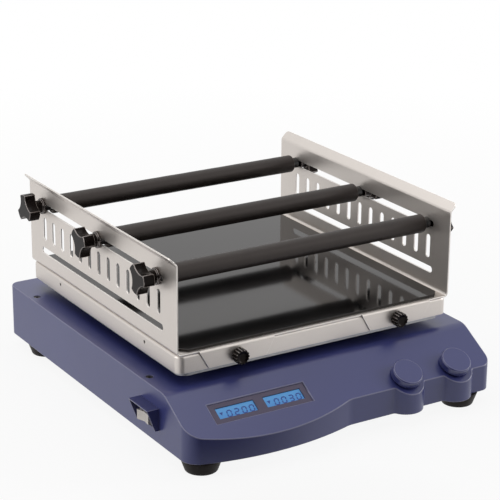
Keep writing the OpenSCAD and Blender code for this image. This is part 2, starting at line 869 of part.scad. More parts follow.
// Brackets between the moving frame and the platform
module frame_brackets() color(steel) for (p = side_screw_places) {
    low = z_frame + frame_t;
    high = z_platform - sheet_t;
    x = abs(p.x) - sheet_t - bracket_w / 2;
    translate([sign(p.x) * x, p.y, 0]) difference() {
        translate([0, 0, (low + high) / 2]) cube([bracket_w, bracket_l, high - low], center = true);
        translate([0, 0, p.z]) rotate([0, 90, 0])
            cylinder(r = side_screw_r, h = bracket_w + 2, center = true);
    }
}

// Set screws, sunk below the skirt
module side_screws() color(black) for (p = side_screw_places) translate(p)
    rotate([0, sign(p.x) * 90, 0]) translate([0, 0, -side_screw_l]) difference() {
        cylinder(r = side_screw_r, h = side_screw_l - side_screw_sink);
        translate([0, 0, side_screw_l - 3 * side_screw_sink])
            cylinder(r = side_screw_r / 2, h = side_screw_l, $fn = 6);
    }

// Side view of the platform's rounded top edge, from its corner axis out
module edge_profile(r) {
    e = platform_edge_r;
    square([r - e, skirt_h]);
    square([r, skirt_h - e]);
    translate([r - e, skirt_h - e]) circle(e);
}

// Block with round vertical corners and a soft top edge
module platform_block() {
    r = platform_r;
    w = platform_w - 2 * r;
    d = platform_d - 2 * r;
    translate([0, 0, skirt_h / 2]) cube([w, d, skirt_h], center = true);
    for (i = [0 : 3]) rotate([0, 0, 90 * i]) {
        across = i % 2 == 0 ? [w, d] : [d, w];
        translate([across.x / 2, across.y / 2, 0]) {
            rotate_extrude(angle = 90) intersection() {
                edge_profile(r);
                square([r, skirt_h]);
            }
            rotate([90, 0, 0]) linear_extrude(across.y) intersection() {
                edge_profile(r);
                square([r, skirt_h]);
            }
        }
    }
}

thumb_places = [
    for (y = [-1, 1], x = [-1, 1])
        [x * tab_x, y_platform + y * platform_d / 2, z_platform - thumb_drop]
];

module platform() color(silver) difference() {
    translate([0, y_platform, z_skirt]) difference() {
        platform_block();
        translate([0, 0, -1]) linear_extrude(skirt_h - sheet_t + 1)
            round_rect(platform_w - 2 * sheet_t, platform_d - 2 * sheet_t, platform_r - sheet_t);
    }
    for (p = thumb_places) translate(p) rotate([90, 0, 0])
        cylinder(r = thumb_stud_r + run_gap, h = 4 * sheet_t, center = true);
    for (p = side_screw_places) translate(p) rotate([0, 90, 0])
        cylinder(r = side_screw_r, h = 4 * sheet_t, center = true);
}

nut_r = 5;
nut_h = 4;

// Frame at a thumbscrew: Z points out of the skirt
module at_thumb(i) {
    p = thumb_places[i];
    translate(p) rotate([90, 0, p.y < y_platform ? 0 : 180]) children();
}

module weld_nuts() color(steel) for (i = [0 : 3]) at_thumb(i) translate([0, 0, -sheet_t - nut_h])
    difference() {
        cylinder(r = nut_r, h = nut_h, $fn = 6);
        translate([0, 0, -1]) cylinder(r = thumb_stud_r + run_gap, h = nut_h + 2);
    }

// Carrier's folded outline, with X across and Z up
module carrier_profile() {
    half = carrier_w / 2;
    translate([bend_out - half, z_platform]) square([carrier_w - 2 * bend_out, carrier_t]);
    for (s = [0, 1]) mirror([s, 0]) {
        translate([half - bend_out, z_platform + bend_out]) ring_sector(bend_r, bend_out, -90, 0);
        translate([inner_x, z_platform + bend_out]) square([carrier_t, carrier_h - bend_out]);
        translate([half + bend_r, z_bend]) {
            ring_sector(bend_r, bend_out, 180 - flare_angle, 180);
            rotate(-flare_angle) translate([-bend_out, 0]) square([carrier_t, flare_l]);
        }
    }
}

// What is cut off to round an end corner of a flared edge
module flare_corner_waste() {
    y = platform_d / 2 - flare_corner_r;
    translate([carrier_w / 2 + bend_r, 0, z_bend]) rotate([0, flare_angle, 0])
        for (s = [-1, 1]) translate([-bend_out - 1, s * y, flare_l - flare_corner_r])
            rotate([90, 0, 90]) linear_extrude(carrier_t + 2) difference() {
                translate([s > 0 ? 0 : -2 * flare_corner_r, 0]) square(2 * flare_corner_r);
                circle(flare_corner_r + lap);
            }
}

// Slots through both walls: a long one above and below, and a row of upright ones
module wall_slots() {
    through = carrier_w + 10;
    rotate([90, 0, 90]) translate([0, 0, -through / 2]) linear_extrude(through) {
        for (z = [upper_slot_z, lower_slot_z]) translate([0, z_platform + z]) obround(long_slot_l, slot_w);
        for (i = [0 : upright_count - 1])
            translate([(i - (upright_count - 1) / 2) * upright_pitch, z_platform + upright_z])
                rotate(90) obround(upright_l, slot_w);
    }
}

// Tab folded down over the front skirt
module carrier_tab(side) translate([side * tab_x, -platform_d / 2, 0]) difference() {
    union() {
        translate([0, 0, z_platform - tab_gap]) rotate([90, 0, 90])
            linear_extrude(tab_top_w, center = true) ring_sector(tab_gap, tab_bend_r, 90, 180);
        translate([0, -tab_gap, 0]) rotate([90, 0, 0]) linear_extrude(carrier_t) polygon([
            [-tab_top_w / 2, z_platform - tab_gap], [tab_top_w / 2, z_platform - tab_gap],
            [tab_low_w / 2, z_platform - tab_h], [-tab_low_w / 2, z_platform - tab_h]
        ]);
    }
    translate([0, 0, z_platform - thumb_drop]) rotate([90, 0, 0])
        cylinder(r = thumb_stud_r + tab_hole_gap, h = 4 * tab_bend_r, center = true);
}

module carrier() color(silver) translate([0, y_platform, 0]) {
    difference() {
        rotate([90, 0, 0]) linear_extrude(platform_d, center = true) carrier_profile();
        wall_slots();
        for (s = [0, 1]) mirror([s, 0, 0]) flare_corner_waste();
    }
    for (turn = [0, 180], s = [-1, 1]) rotate([0, 0, turn]) carrier_tab(s);
}

module mat() color(black) translate([0, y_platform, z_plate]) linear_extrude(mat_t) {
    x = inner_x - mat_inset;
    y = platform_d / 2 - mat_end;
    c = mat_corner;
    polygon([
        [x, y - c], [x - c, y], [c - x, y], [-x, y - c], [-x, c - y], [c - x, -y], [x - c, -y], [x, c - y]
    ]);
}

// Thumbscrew with a fluted, hollow head
flute_count = 14;
flute_r = 1.2;
thumb_hollow_r = thumb_r / 2;
module thumbscrew(i) color(black) at_thumb(i) {
    low = tab_bend_r + clamp_gap;
    translate([0, 0, low]) difference() {
        cylinder(r = thumb_r, h = thumb_l);
        for (a = [0 : flute_count - 1]) rotate([0, 0, 360 * a / flute_count])
            translate([thumb_r + flute_r / 3, 0, -1]) cylinder(r = flute_r, h = thumb_l + 2);
        translate([0, 0, thumb_l / 3]) cylinder(r = thumb_hollow_r, h = thumb_l);
    }
    translate([0, 0, -sheet_t - nut_h]) cylinder(r = thumb_stud_r, h = sheet_t + nut_h + low + 1);
}

module thumbscrew_front_left() thumbscrew(0);

module thumbscrew_front_right() thumbscrew(1);

module thumbscrew_rear_left() thumbscrew(2);

module thumbscrew_rear_right() thumbscrew(3);

// Frame on a bar's axis, in the middle of the carrier, with Z along the bar to the right
module on_bar(i) {
    translate([0, y_bars[i], z_upper_slot]) rotate([0, 90, 0]) children();
}

knob_cap = 4;
stud_end = carrier_w / 2 + clamp_gap + knob_reach - knob_cap;

module rod(i) color(black) on_bar(i) {
    cylinder(r = rod_r, h = 2 * (inner_x - clamp_gap), center = true);
    cylinder(r = stud_r, h = 2 * stud_end, center = true);
}

module front_rod() rod(0);

module middle_rod() rod(1);

module rear_rod() rod(2);

sleeve_edge = 1;
module sleeve(i) color(black) on_bar(i) {
    end = inner_x - sleeve_end;
    rotate_extrude() polygon([
        [rod_r, -end], [sleeve_r - sleeve_edge, -end], [sleeve_r, sleeve_edge - end],
        [sleeve_r, end - sleeve_edge], [sleeve_r - sleeve_edge, end], [rod_r, end]
    ]);
}

module front_sleeve() sleeve(0);

module middle_sleeve() sleeve(1);

module rear_sleeve() sleeve(2);

// Outline of a clamp knob: a disc with three hollow sides, and a lobe on the X axis
module knob_outline() {
    end_x = knob_r * cos(60 - asin(lobe_w / 2 / knob_r));
    hollow_x = (knob_r * knob_r - knob_waist * knob_waist) / (2 * (end_x - knob_waist));
    difference() {
        circle(knob_r);
        for (a = [60, 180, 300]) rotate(a) translate([hollow_x, 0]) circle(hollow_x - knob_waist);
    }
}

// Clamp knob: a flange, a neck and a three-lobed head, screwed on the bar's end
knob_flange_r = 9;
knob_flange_t = 2.5;
knob_neck_r = 7;
stud_room = 1.5;
knob_turns = [[20, 75], [9, 40], [51, 100]];
module clamp_knob(i, side) color(black) on_bar(i) mirror([0, 0, side == 0 ? 1 : 0])
    translate([0, 0, carrier_w / 2 + clamp_gap]) difference() {
        head = knob_reach - lobe_t;
        union() {
            cylinder(r = knob_flange_r, h = knob_flange_t);
            cylinder(r = knob_neck_r, h = head + 1);
            translate([0, 0, head]) linear_extrude(lobe_t) rotate(knob_turns[i][side]) knob_outline();
        }
        translate([0, 0, -1]) cylinder(r = stud_r + run_gap, h = knob_reach - knob_cap + stud_room);
    }

module clamp_knob_front_left() clamp_knob(0, 0);

module clamp_knob_front_right() clamp_knob(0, 1);

module clamp_knob_middle_left() clamp_knob(1, 0);

module clamp_knob_middle_right() clamp_knob(1, 1);

module clamp_knob_rear_left() clamp_knob(2, 0);

module clamp_knob_rear_right() clamp_knob(2, 1);

// The origin lies under the middle of the whole outline, from the hood to the knobs on the right
translate([x_origin, 0, 0]) {
    housing();
    base_plate();
    feet();
    cover_screws();
    switch_hood();
    switch_body();
    power_rocker();
    mains_inlet();
    display_bezel();
    speed_display();
    time_display();
    control_board();
    power_supply();
    speed_encoder();
    speed_push_collar();
    speed_shaft();
    speed_knob();
    time_encoder();
    time_push_collar();
    time_shaft();
    time_knob();
    motor();
    motor_shaft();
    motor_pulley();
    drive_belt();
    drive_pulley();
    crankshaft();
    counterweight();
    crank_bearing_block();
    support_bearing_blocks();
    base_bearings();
    support_crank_front_left();
    support_crank_front_right();
    support_crank_rear_left();
    support_crank_rear_right();
    moving_frame();
    frame_bearings();
    frame_brackets();
    side_screws();
    platform();
    weld_nuts();
    carrier();
    mat();
    thumbscrew_front_left();
    thumbscrew_front_right();
    thumbscrew_rear_left();
    thumbscrew_rear_right();
    front_rod();
    middle_rod();
    rear_rod();
    front_sleeve();
    middle_sleeve();
    rear_sleeve();
    clamp_knob_front_left();
    clamp_knob_front_right();
    clamp_knob_middle_left();
    clamp_knob_middle_right();
    clamp_knob_rear_left();
    clamp_knob_rear_right();
}
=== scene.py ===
"""Looks of the orbital shaker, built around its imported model.

Metres, +Z up, front at -Y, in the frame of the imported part.
"""

import json
import math

import bmesh
import bpy
from mathutils import Matrix, Vector


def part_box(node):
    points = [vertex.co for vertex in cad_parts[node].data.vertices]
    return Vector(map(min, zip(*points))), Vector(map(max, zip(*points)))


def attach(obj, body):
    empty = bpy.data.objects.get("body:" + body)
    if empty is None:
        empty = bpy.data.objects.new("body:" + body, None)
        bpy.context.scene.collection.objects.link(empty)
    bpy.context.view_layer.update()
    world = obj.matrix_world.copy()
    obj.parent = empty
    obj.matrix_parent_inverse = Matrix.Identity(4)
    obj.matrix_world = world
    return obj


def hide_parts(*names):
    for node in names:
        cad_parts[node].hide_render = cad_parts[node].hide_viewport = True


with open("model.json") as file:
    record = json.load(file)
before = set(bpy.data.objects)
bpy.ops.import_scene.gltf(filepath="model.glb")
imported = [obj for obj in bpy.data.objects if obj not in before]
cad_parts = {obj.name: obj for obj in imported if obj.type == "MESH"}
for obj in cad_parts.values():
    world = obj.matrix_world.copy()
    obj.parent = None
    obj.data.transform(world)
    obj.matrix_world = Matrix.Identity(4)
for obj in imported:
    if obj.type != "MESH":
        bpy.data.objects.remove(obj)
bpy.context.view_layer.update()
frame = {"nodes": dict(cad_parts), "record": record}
NODES = frame["nodes"]
SLOT_OF = {part["node"]: part["material_slot"] for part in frame["record"]["subparts"]}
BARS = ("front", "middle", "rear")
scene = bpy.context.scene
MM = 0.001
WHITE = (1, 1, 1, 1)


def middle(node):
    low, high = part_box(node)
    return (low + high) / 2


def nodes_named(start):
    return [node for node in NODES if node.startswith(start)]


# Camera at the photograph's viewing angle
CAMERA_AZIMUTH = math.radians(-31.80)
CAMERA_ELEVATION = math.radians(19.34)
CAMERA_ROLL = math.radians(0.45)
CAMERA_DISTANCE = 1.9555
CAMERA_TARGET = Vector((middle("platform").x, -8 * MM, 145.6 * MM))
CAMERA_LENS = 131.06
SENSOR_WIDTH = 36


def make_camera():
    data = bpy.data.cameras.new("camera")
    data.lens = CAMERA_LENS
    data.sensor_width = SENSOR_WIDTH
    camera = bpy.data.objects.new("camera", data)
    scene.collection.objects.link(camera)
    level = math.cos(CAMERA_ELEVATION)
    back = Vector((
        math.sin(CAMERA_AZIMUTH) * level,
        -math.cos(CAMERA_AZIMUTH) * level,
        math.sin(CAMERA_ELEVATION),
    ))
    right = Vector((math.cos(CAMERA_AZIMUTH), math.sin(CAMERA_AZIMUTH), 0))
    up = back.cross(right)
    roll_c, roll_s = math.cos(CAMERA_ROLL), math.sin(CAMERA_ROLL)
    rolled_right = roll_c * right + roll_s * up
    rolled_up = roll_c * up - roll_s * right
    turn = Matrix((rolled_right, rolled_up, back)).transposed().to_4x4()
    camera.matrix_world = Matrix.Translation(CAMERA_TARGET + back * CAMERA_DISTANCE) @ turn
    scene.camera = camera


# Studio: a white floor that keeps the shadow, a white surround, soft lamps and two dark cards
AMBIENT = 0.22
AMBIENT_TONE = (1, 0.99, 0.97, 1)
FLOOR_SIZE = 14
# Tone of the floor where its shadow shows, and of the light that it sends back to the part
FLOOR_TONE = 0.95
FLOOR_BOUNCE = 0.5
# Share of the shadow that shows in the middle, and the radius at which none is left
SHADOW_DEPTH = 0.13
SHADOW_REACH = 1.3
LAMPS = [
    # name, place, width, depth, watts
    ("top_softbox", (-0.3, 0.3, 1.9), 2.2, 2.2, 16),
    ("left_softbox", (-2.0, 0.35, 0.45), 1.2, 0.8, 10),
    ("right_softbox", (2.2, -1.0, 0.9), 1.2, 1.2, 19),
]
AIM = Vector((0, 0, 0.1))
CARD_TONE = 0.02
# How steeply a card's fade rises to full cover
CARD_EDGE = 2
CARDS = [
    # name, middle, half width, half height, degrees of tilt up from the floor, degrees of turn about Z
    ("floor_card", (-0.19, -0.42, 0.0005), 0.25, 0.25, 0, 0),
    ("front_card", (-0.45, -1.00, 0.30), 0.75, 0.60, 90, -24),
]


def seen_directly(nodes, links):
    """1 for the rays that show the background: camera, glossy and transmission rays."""
    path = nodes.new("ShaderNodeLightPath")
    total = path.outputs["Is Camera Ray"]
    for name in ("Is Glossy Ray", "Is Transmission Ray"):
        most = nodes.new("ShaderNodeMath")
        most.operation = "MAXIMUM"
        links.new(total, most.inputs[0])
        links.new(path.outputs[name], most.inputs[1])
        total = most.outputs[0]
    return total


def diffuse(nodes, tone):
    matt = nodes.new("ShaderNodeBsdfDiffuse")
    matt.inputs["Color"].default_value = (tone, tone, tone, 1)
    return matt.outputs[0]


def mixed(nodes, links, share, first, second):
    mix = nodes.new("ShaderNodeMixShader")
    links.new(share, mix.inputs["Fac"])
    links.new(first, mix.inputs[1])
    links.new(second, mix.inputs[2])
    return mix.outputs[0]


def times(nodes, links, value, factor):
    """A value times a factor, held between 0 and 1."""
    product = nodes.new("ShaderNodeMath")
    product.operation = "MULTIPLY"
    product.use_clamp = True
    product.inputs[1].default_value = factor
    links.new(value, product.inputs[0])
    return product.outputs[0]


def round_fade(nodes, links, scale):
    """1 at the sheet's middle, falling to 0 at a radius of 1 / scale in the sheet's own units."""
    mapping = nodes.new("ShaderNodeMapping")
    mapping.inputs["Scale"].default_value = (scale, scale, scale)
    links.new(nodes.new("ShaderNodeTexCoord").outputs["Object"], mapping.inputs["Vector"])
    fade = nodes.new("ShaderNodeTexGradient")
    fade.gradient_type = "SPHERICAL"
    links.new(mapping.outputs[0], fade.inputs["Vector"])
    return fade.outputs["Fac"]


def stage_sheet(name, place, half_sides, turn=(0, 0, 0)):
    """A flat sheet beside the part, with the nodes and links of its still empty material."""
    mesh = bpy.data.meshes.new(name)
    mesh.from_pydata([(-1, -1, 0), (1, -1, 0), (1, 1, 0), (-1, 1, 0)], [], [(0, 1, 2, 3)])
    sheet = bpy.data.objects.new(name, mesh)
    sheet.location = place
    sheet.scale = (*half_sides, 1)
    sheet.rotation_euler = turn
    scene.collection.objects.link(sheet)
    material = bpy.data.materials.new(name)
    material.use_nodes = True
    material.node_tree.nodes.remove(material.node_tree.nodes["Principled BSDF"])
    mesh.materials.append(material)
    return sheet, material.node_tree.nodes, material.node_tree.links


def make_world():
    world = bpy.data.worlds.new("studio")
    scene.world = world
    world.use_nodes = True
    nodes, links = world.node_tree.nodes, world.node_tree.links
    soft = nodes["Background"]
    soft.inputs["Color"].default_value = AMBIENT_TONE
    soft.inputs["Strength"].default_value = AMBIENT
    white = nodes.new("ShaderNodeBackground")
    white.inputs["Color"].default_value = WHITE
    white.inputs["Strength"].default_value = 1
    look = mixed(nodes, links, seen_directly(nodes, links), soft.outputs[0], white.outputs[0])
    links.new(look, nodes["World Output"].inputs["Surface"])


def make_floor():
    """The floor is white to the eye away from the part, and shows its shadow close by."""
    half = FLOOR_SIZE / 2
    _, nodes, links = stage_sheet("floor", (0, 0, 0), (half, half))
    glow = nodes.new("ShaderNodeEmission")
    glow.inputs["Color"].default_value = WHITE
    shadow = times(nodes, links, round_fade(nodes, links, half / SHADOW_REACH), SHADOW_DEPTH)
    seen = mixed(nodes, links, shadow, glow.outputs[0], diffuse(nodes, FLOOR_TONE))
    look = mixed(nodes, links, seen_directly(nodes, links), diffuse(nodes, FLOOR_BOUNCE), seen)
    links.new(look, nodes["Material Output"].inputs["Surface"])


def make_cards():
    """Dark cards with soft edges, which show only as reflections in the part's front."""
    for name, place, half_width, half_height, tilt, turn in CARDS:
        angles = (math.radians(tilt), 0, math.radians(turn))
        card, nodes, links = stage_sheet(name, place, (half_width, half_height), angles)
        clear = nodes.new("ShaderNodeBsdfTransparent").outputs[0]
        cover = times(nodes, links, round_fade(nodes, links, 1), CARD_EDGE)
        look = mixed(nodes, links, cover, clear, diffuse(nodes, CARD_TONE))
        links.new(look, nodes["Material Output"].inputs["Surface"])
        card.visible_camera = False
        card.visible_shadow = False


def make_lamps():
    for name, place, width, depth, watts in LAMPS:
        data = bpy.data.lights.new(name, "AREA")
        data.shape = "RECTANGLE"
        data.size, data.size_y = width, depth
        data.energy = watts
        lamp = bpy.data.objects.new(name, data)
        lamp.location = place
        lamp.rotation_euler = (AIM - Vector(place)).to_track_quat("-Z", "Y").to_euler()
        scene.collection.objects.link(lamp)


# Materials
def srgb(red, green, blue):
    """Colour as it looks on screen, from 0 to 255, as the linear colour that a shader takes."""
    def linear(value):
        value /= 255
        return value / 12.92 if value <= 0.04045 else ((value + 0.055) / 1.055) ** 2.4
    return (linear(red), linear(green), linear(blue), 1)


WARM_GLOSS = srgb(255, 243, 238)
# Values of a pattern at which a tint is darkest and lightest
TINT_FROM, TINT_TO = 0.3, 0.7


class Finish:
    """A Principled material whose detail is laid out in the object's own coordinates, in metres.

    Other sockets of the shader are given by name, with _ for a space.
    """

    def __init__(self, name, tone, roughness, **sockets):
        self.material = bpy.data.materials.new(name)
        self.material.use_nodes = True
        self.nodes = self.material.node_tree.nodes
        self.links = self.material.node_tree.links
        self.shader = self.nodes["Principled BSDF"]
        self.color = srgb(*tone)
        self.shader.inputs["Base Color"].default_value = self.color
        self.shader.inputs["Roughness"].default_value = roughness
        for socket, value in sockets.items():
            self.shader.inputs[socket.replace("_", " ")].default_value = value
        self.place = self.nodes.new("ShaderNodeTexCoord").outputs["Object"]

    def noise(self, grains, detail=2, stretch=(1, 1, 1)):
        """Cloudy pattern from 0 to 1 with that many grains to a metre."""
        mapping = self.nodes.new("ShaderNodeMapping")
        mapping.inputs["Scale"].default_value = stretch
        self.links.new(self.place, mapping.inputs["Vector"])
        noise = self.nodes.new("ShaderNodeTexNoise")
        noise.inputs["Scale"].default_value = grains
        noise.inputs["Detail"].default_value = detail
        self.links.new(mapping.outputs[0], noise.inputs["Vector"])
        return noise.outputs["Fac"]

    def rise(self, low, high):
        """0 at one height and 1 at the other."""
        height = self.nodes.new("ShaderNodeSeparateXYZ")
        self.links.new(self.place, height.inputs[0])
        share = self.nodes.new("ShaderNodeMapRange")
        share.inputs["From Min"].default_value = low
        share.inputs["From Max"].default_value = high
        self.links.new(height.outputs["Z"], share.inputs["Value"])
        return share.outputs[0]

    def paint(self, value, first, last):
        """Lets the colour run between two stops, each a position and a colour."""
        ramp = self.nodes.new("ShaderNodeValToRGB")
        for point, (position, color) in zip(ramp.color_ramp.elements, (first, last)):
            point.position = position
            point.color = color
        self.links.new(value, ramp.inputs["Fac"])
        self.links.new(ramp.outputs["Color"], self.shader.inputs["Base Color"])

    def tint(self, value, spread):
        """Lets the colour run from darker to lighter by that share."""
        dark = [c * (1 - spread) for c in self.color[:3]] + [1]
        light = [min(1, c * (1 + spread)) for c in self.color[:3]] + [1]
        self.paint(value, (TINT_FROM, dark), (TINT_TO, light))

    def vary_roughness(self, value, low, high):
        spread = self.nodes.new("ShaderNodeMapRange")
        spread.inputs["To Min"].default_value = low
        spread.inputs["To Max"].default_value = high
        self.links.new(value, spread.inputs["Value"])
        self.links.new(spread.outputs[0], self.shader.inputs["Roughness"])

    def bump(self, value, depth, strength):
        """Raises the surface by that depth, in metres."""
        bump = self.nodes.new("ShaderNodeBump")
        bump.inputs["Distance"].default_value = depth
        bump.inputs["Strength"].default_value = strength
        self.links.new(value, bump.inputs["Height"])
        self.links.new(bump.outputs["Normal"], self.shader.inputs["Normal"])


BODY_BLUE = (59, 64, 123)
HOOD_BLUE = (48, 52, 104)
# The lighter tones for rounded edges below are painted highlights.
HIGHLIGHT_BLUE = (118, 118, 154)
SILVER = (214, 207, 201)
HIGHLIGHT_SILVER = (248, 245, 241)
BLACK = (17, 11, 10)
HIGHLIGHT_BLACK = (26, 20, 19)
LCD_TONE = (70, 132, 192)
LCD_FOOT = (66, 126, 192)
LCD_HEAD = (92, 160, 214)
LCD_GLOW = (60, 140, 215)


def blue_paint(name, tone):
    finish = Finish(name, tone, roughness=0.31, Specular_IOR_Level=0.75)
    finish.tint(finish.noise(grains=9, detail=3), spread=0.05)
    finish.vary_roughness(finish.noise(grains=60, detail=3), low=0.29, high=0.34)
    finish.bump(finish.noise(grains=1400), depth=0.02 * MM, strength=0.5)
    return finish.material


def blue_plastic(name, tone):
    finish = Finish(name, tone, roughness=0.33, Specular_IOR_Level=0.75)
    finish.tint(finish.noise(grains=40, detail=3), spread=0.04)
    finish.bump(finish.noise(grains=2600), depth=0.02 * MM, strength=0.5)
    return finish.material


def silver_coat(name, tone):
    finish = Finish(name, tone, roughness=0.4, Metallic=0.8)
    finish.tint(finish.noise(grains=5200, detail=1), spread=0.05)
    finish.vary_roughness(finish.noise(grains=45, detail=3), low=0.32, high=0.44)
    finish.bump(finish.noise(grains=1900), depth=0.01 * MM, strength=0.4)
    return finish.material


def machined_steel():
    finish = Finish("machined_steel", (176, 178, 182), roughness=0.32, Metallic=1)
    finish.tint(finish.noise(grains=70, detail=4), spread=0.08)
    turned = finish.noise(grains=900, detail=3, stretch=(1, 1, 0.05))
    finish.vary_roughness(turned, low=0.24, high=0.42)
    return finish.material


def cast_aluminium():
    finish = Finish("cast_aluminium", (178, 178, 178), roughness=0.5, Metallic=0.9)
    finish.tint(finish.noise(grains=120, detail=4), spread=0.08)
    finish.bump(finish.noise(grains=900, detail=3), depth=0.06 * MM, strength=0.6)
    return finish.material


def black_rubber(name, tone, roughness, gloss):
    finish = Finish(name, tone, roughness, Specular_IOR_Level=gloss, Specular_Tint=WARM_GLOSS)
    finish.tint(finish.noise(grains=55, detail=4), spread=0.18)
    worn = finish.noise(grains=240, detail=3)
    finish.vary_roughness(worn, low=roughness - 0.06, high=roughness + 0.08)
    finish.bump(finish.noise(grains=2200, detail=3), depth=0.03 * MM, strength=0.6)
    return finish.material


def gloss_mat():
    finish = Finish(
        "gloss_mat", (14, 14, 15), roughness=0.07, Specular_IOR_Level=0.36, Specular_Tint=WARM_GLOSS,
    )
    finish.tint(finish.noise(grains=30, detail=4), spread=0.15)
    finish.vary_roughness(finish.noise(grains=14, detail=5), low=0.045, high=0.10)
    finish.bump(finish.noise(grains=18), depth=0.08 * MM, strength=0.3)
    return finish.material


def black_plastic(name, tone, gloss, ior):
    finish = Finish(
        name, tone, roughness=0.16, IOR=ior, Specular_IOR_Level=gloss, Specular_Tint=WARM_GLOSS,
    )
    finish.tint(finish.noise(grains=90, detail=3), spread=0.15)
    finish.vary_roughness(finish.noise(grains=500, detail=3), low=0.12, high=0.22)
    finish.bump(finish.noise(grains=3200), depth=0.02 * MM, strength=0.5)
    return finish.material


def black_metal():
    finish = Finish("black_metal", (24, 22, 22), roughness=0.4)
    finish.tint(finish.noise(grains=150, detail=3), spread=0.15)
    finish.vary_roughness(finish.noise(grains=700, detail=3), low=0.32, high=0.48)
    return finish.material


def smoked_bezel():
    finish = Finish("smoked_bezel", (80, 72, 96), roughness=0.5)
    finish.tint(finish.noise(grains=60, detail=3), spread=0.06)
    finish.bump(finish.noise(grains=3000), depth=0.02 * MM, strength=0.4)
    return finish.material


def backlit_display():
    """Lighter towards its upper edge, with a weak glow of its own."""
    finish = Finish(
        "backlit_display", LCD_TONE, roughness=0.3, Emission_Color=srgb(*LCD_GLOW), Emission_Strength=0.25,
    )
    low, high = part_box("speed_display")
    finish.paint(finish.rise(low.z, high.z), (0.1, srgb(*LCD_FOOT)), (0.9, srgb(*LCD_HEAD)))
    return finish.material


def display_ink():
    finish = Finish("display_ink", (34, 72, 162), roughness=0.35)
    finish.tint(finish.noise(grains=300), spread=0.10)
    return finish.material


def white_plastic():
    finish = Finish("white_plastic", (232, 225, 218), roughness=0.28)
    finish.tint(finish.noise(grains=120, detail=3), spread=0.04)
    finish.bump(finish.noise(grains=2500), depth=0.01 * MM, strength=0.4)
    return finish.material


def circuit_board():
    finish = Finish("circuit_board", (24, 92, 48), roughness=0.45)
    finish.tint(finish.noise(grains=700), spread=0.25)
    return finish.material


def toothed_belt():
    finish = Finish("toothed_belt", (34, 34, 34), roughness=0.7)
    finish.tint(finish.noise(grains=400, detail=3), spread=0.2)
    finish.bump(finish.noise(grains=1500), depth=0.04 * MM, strength=0.6)
    return finish.material


MATERIALS = {
    # material of each slot in the record
    "housing": blue_paint("housing_paint", BODY_BLUE),
    "dials": blue_plastic("dial_plastic", BODY_BLUE),
    "silver": silver_coat("silver_coat", SILVER),
    "steel": machined_steel(),
    "aluminium": cast_aluminium(),
    "feet": black_rubber("foot_rubber", (14, 11, 12), roughness=0.5, gloss=0.2),
    "sleeve": black_rubber("sleeve_rubber", (31, 26, 24), roughness=0.46, gloss=0.48),
    "mat": gloss_mat(),
    "black_plastic": black_plastic("black_plastic", BLACK, gloss=0.11, ior=1.5),
    "bezel": smoked_bezel(),
    "display": backlit_display(),
    "rocker": white_plastic(),
    "board": circuit_board(),
    "belt": toothed_belt(),
    "black_metal": black_metal(),
}
EDGE_HIGHLIGHT = {
    # material of the rounded edges in a slot: a painted highlight, lighter or brighter than the faces,
    # which on black plastic is also glossier
    "housing": blue_paint("housing_edge_highlight", HIGHLIGHT_BLUE),
    "dials": blue_plastic("dial_edge", HIGHLIGHT_BLUE),
    "silver": silver_coat("silver_edge_highlight", HIGHLIGHT_SILVER),
    "black_plastic": black_plastic("plastic_edge_highlight", HIGHLIGHT_BLACK, gloss=1, ior=1.85),
}
OWN_FINISH = {"switch_hood": blue_plastic("hood_plastic", HOOD_BLUE)}


def finish_nodes():
    """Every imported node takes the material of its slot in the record, or one of its own."""
    for node, slot in SLOT_OF.items():
        mesh = NODES[node].data
        mesh.materials.clear()
        mesh.materials.append(OWN_FINISH.get(node, MATERIALS[slot]))


# Edges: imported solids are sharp, and real ones catch a line of light
WELD = 0.002 * MM
# Faces that meet at less than the first angle are one face, and at more than the second have a sharp edge
FLAT_ANGLE = math.radians(0.3)
SHARP_ANGLE = math.radians(30)
EDGE_SEGMENTS = 2
# Place of the painted edge highlight among a mesh's materials
HIGHLIGHT_INDEX = 1
ROUND_PROFILE = 0.5
# How much a large face pulls the shading of its corners, from 1 to 100
FACE_WEIGHT = 50
FLAT_WEIGHT = 100
KNOB_EDGE = 1.0 * MM
KNOB_SEGMENTS = 3
SOFT_EDGES = {
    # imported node: width of its rounded edges
    "switch_hood": 0.5 * MM,
    "power_rocker": 0.5 * MM,
    "display_bezel": 0.12 * MM,
    "feet": 1.0 * MM,
    "speed_knob": 0.3 * MM,
    "time_knob": 0.3 * MM,
}


def smooth_faces(mesh):
    for polygon in mesh.polygons:
        polygon.use_smooth = True


def weigh_normals(obj, weight=FACE_WEIGHT):
    """Keeps large faces flat to the eye beside their rounded edges."""
    shade = obj.modifiers.new("shade", "WEIGHTED_NORMAL")
    shade.weight = weight


def weld(obj, name):
    joined = obj.modifiers.new(name, "WELD")
    joined.merge_threshold = WELD


def soften(node, width, segments=EDGE_SEGMENTS):
    """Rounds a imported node's sharp edges by modifiers, which leave its own mesh as it is."""
    obj = NODES[node]
    slot = SLOT_OF[node]
    weld(obj, "weld")
    flat = obj.modifiers.new("flat", "DECIMATE")
    flat.decimate_type = "DISSOLVE"
    flat.angle_limit = FLAT_ANGLE
    bevel = obj.modifiers.new("bevel", "BEVEL")
    bevel.width = width
    bevel.segments = segments
    bevel.limit_method = "ANGLE"
    bevel.angle_limit = SHARP_ANGLE
    # The rounded edges take the slot's painted highlight, if it has one.
    if slot in EDGE_HIGHLIGHT:
        obj.data.materials.append(EDGE_HIGHLIGHT[slot])
        bevel.material = HIGHLIGHT_INDEX
    weld(obj, "close")
    weigh_normals(obj)
    smooth_faces(obj.data)


# New pieces
def add_piece(name, mesh_maker, body, material):
    """Turns a finished mesh into a piece that rides on a body."""
    bmesh.ops.recalc_face_normals(mesh_maker, faces=mesh_maker.faces)
    mesh = bpy.data.meshes.new(name)
    mesh_maker.to_mesh(mesh)
    mesh_maker.free()
    mesh.materials.append(material)
    piece = bpy.data.objects.new(name, mesh)
    scene.collection.objects.link(piece)
    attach(piece, body)
    return piece


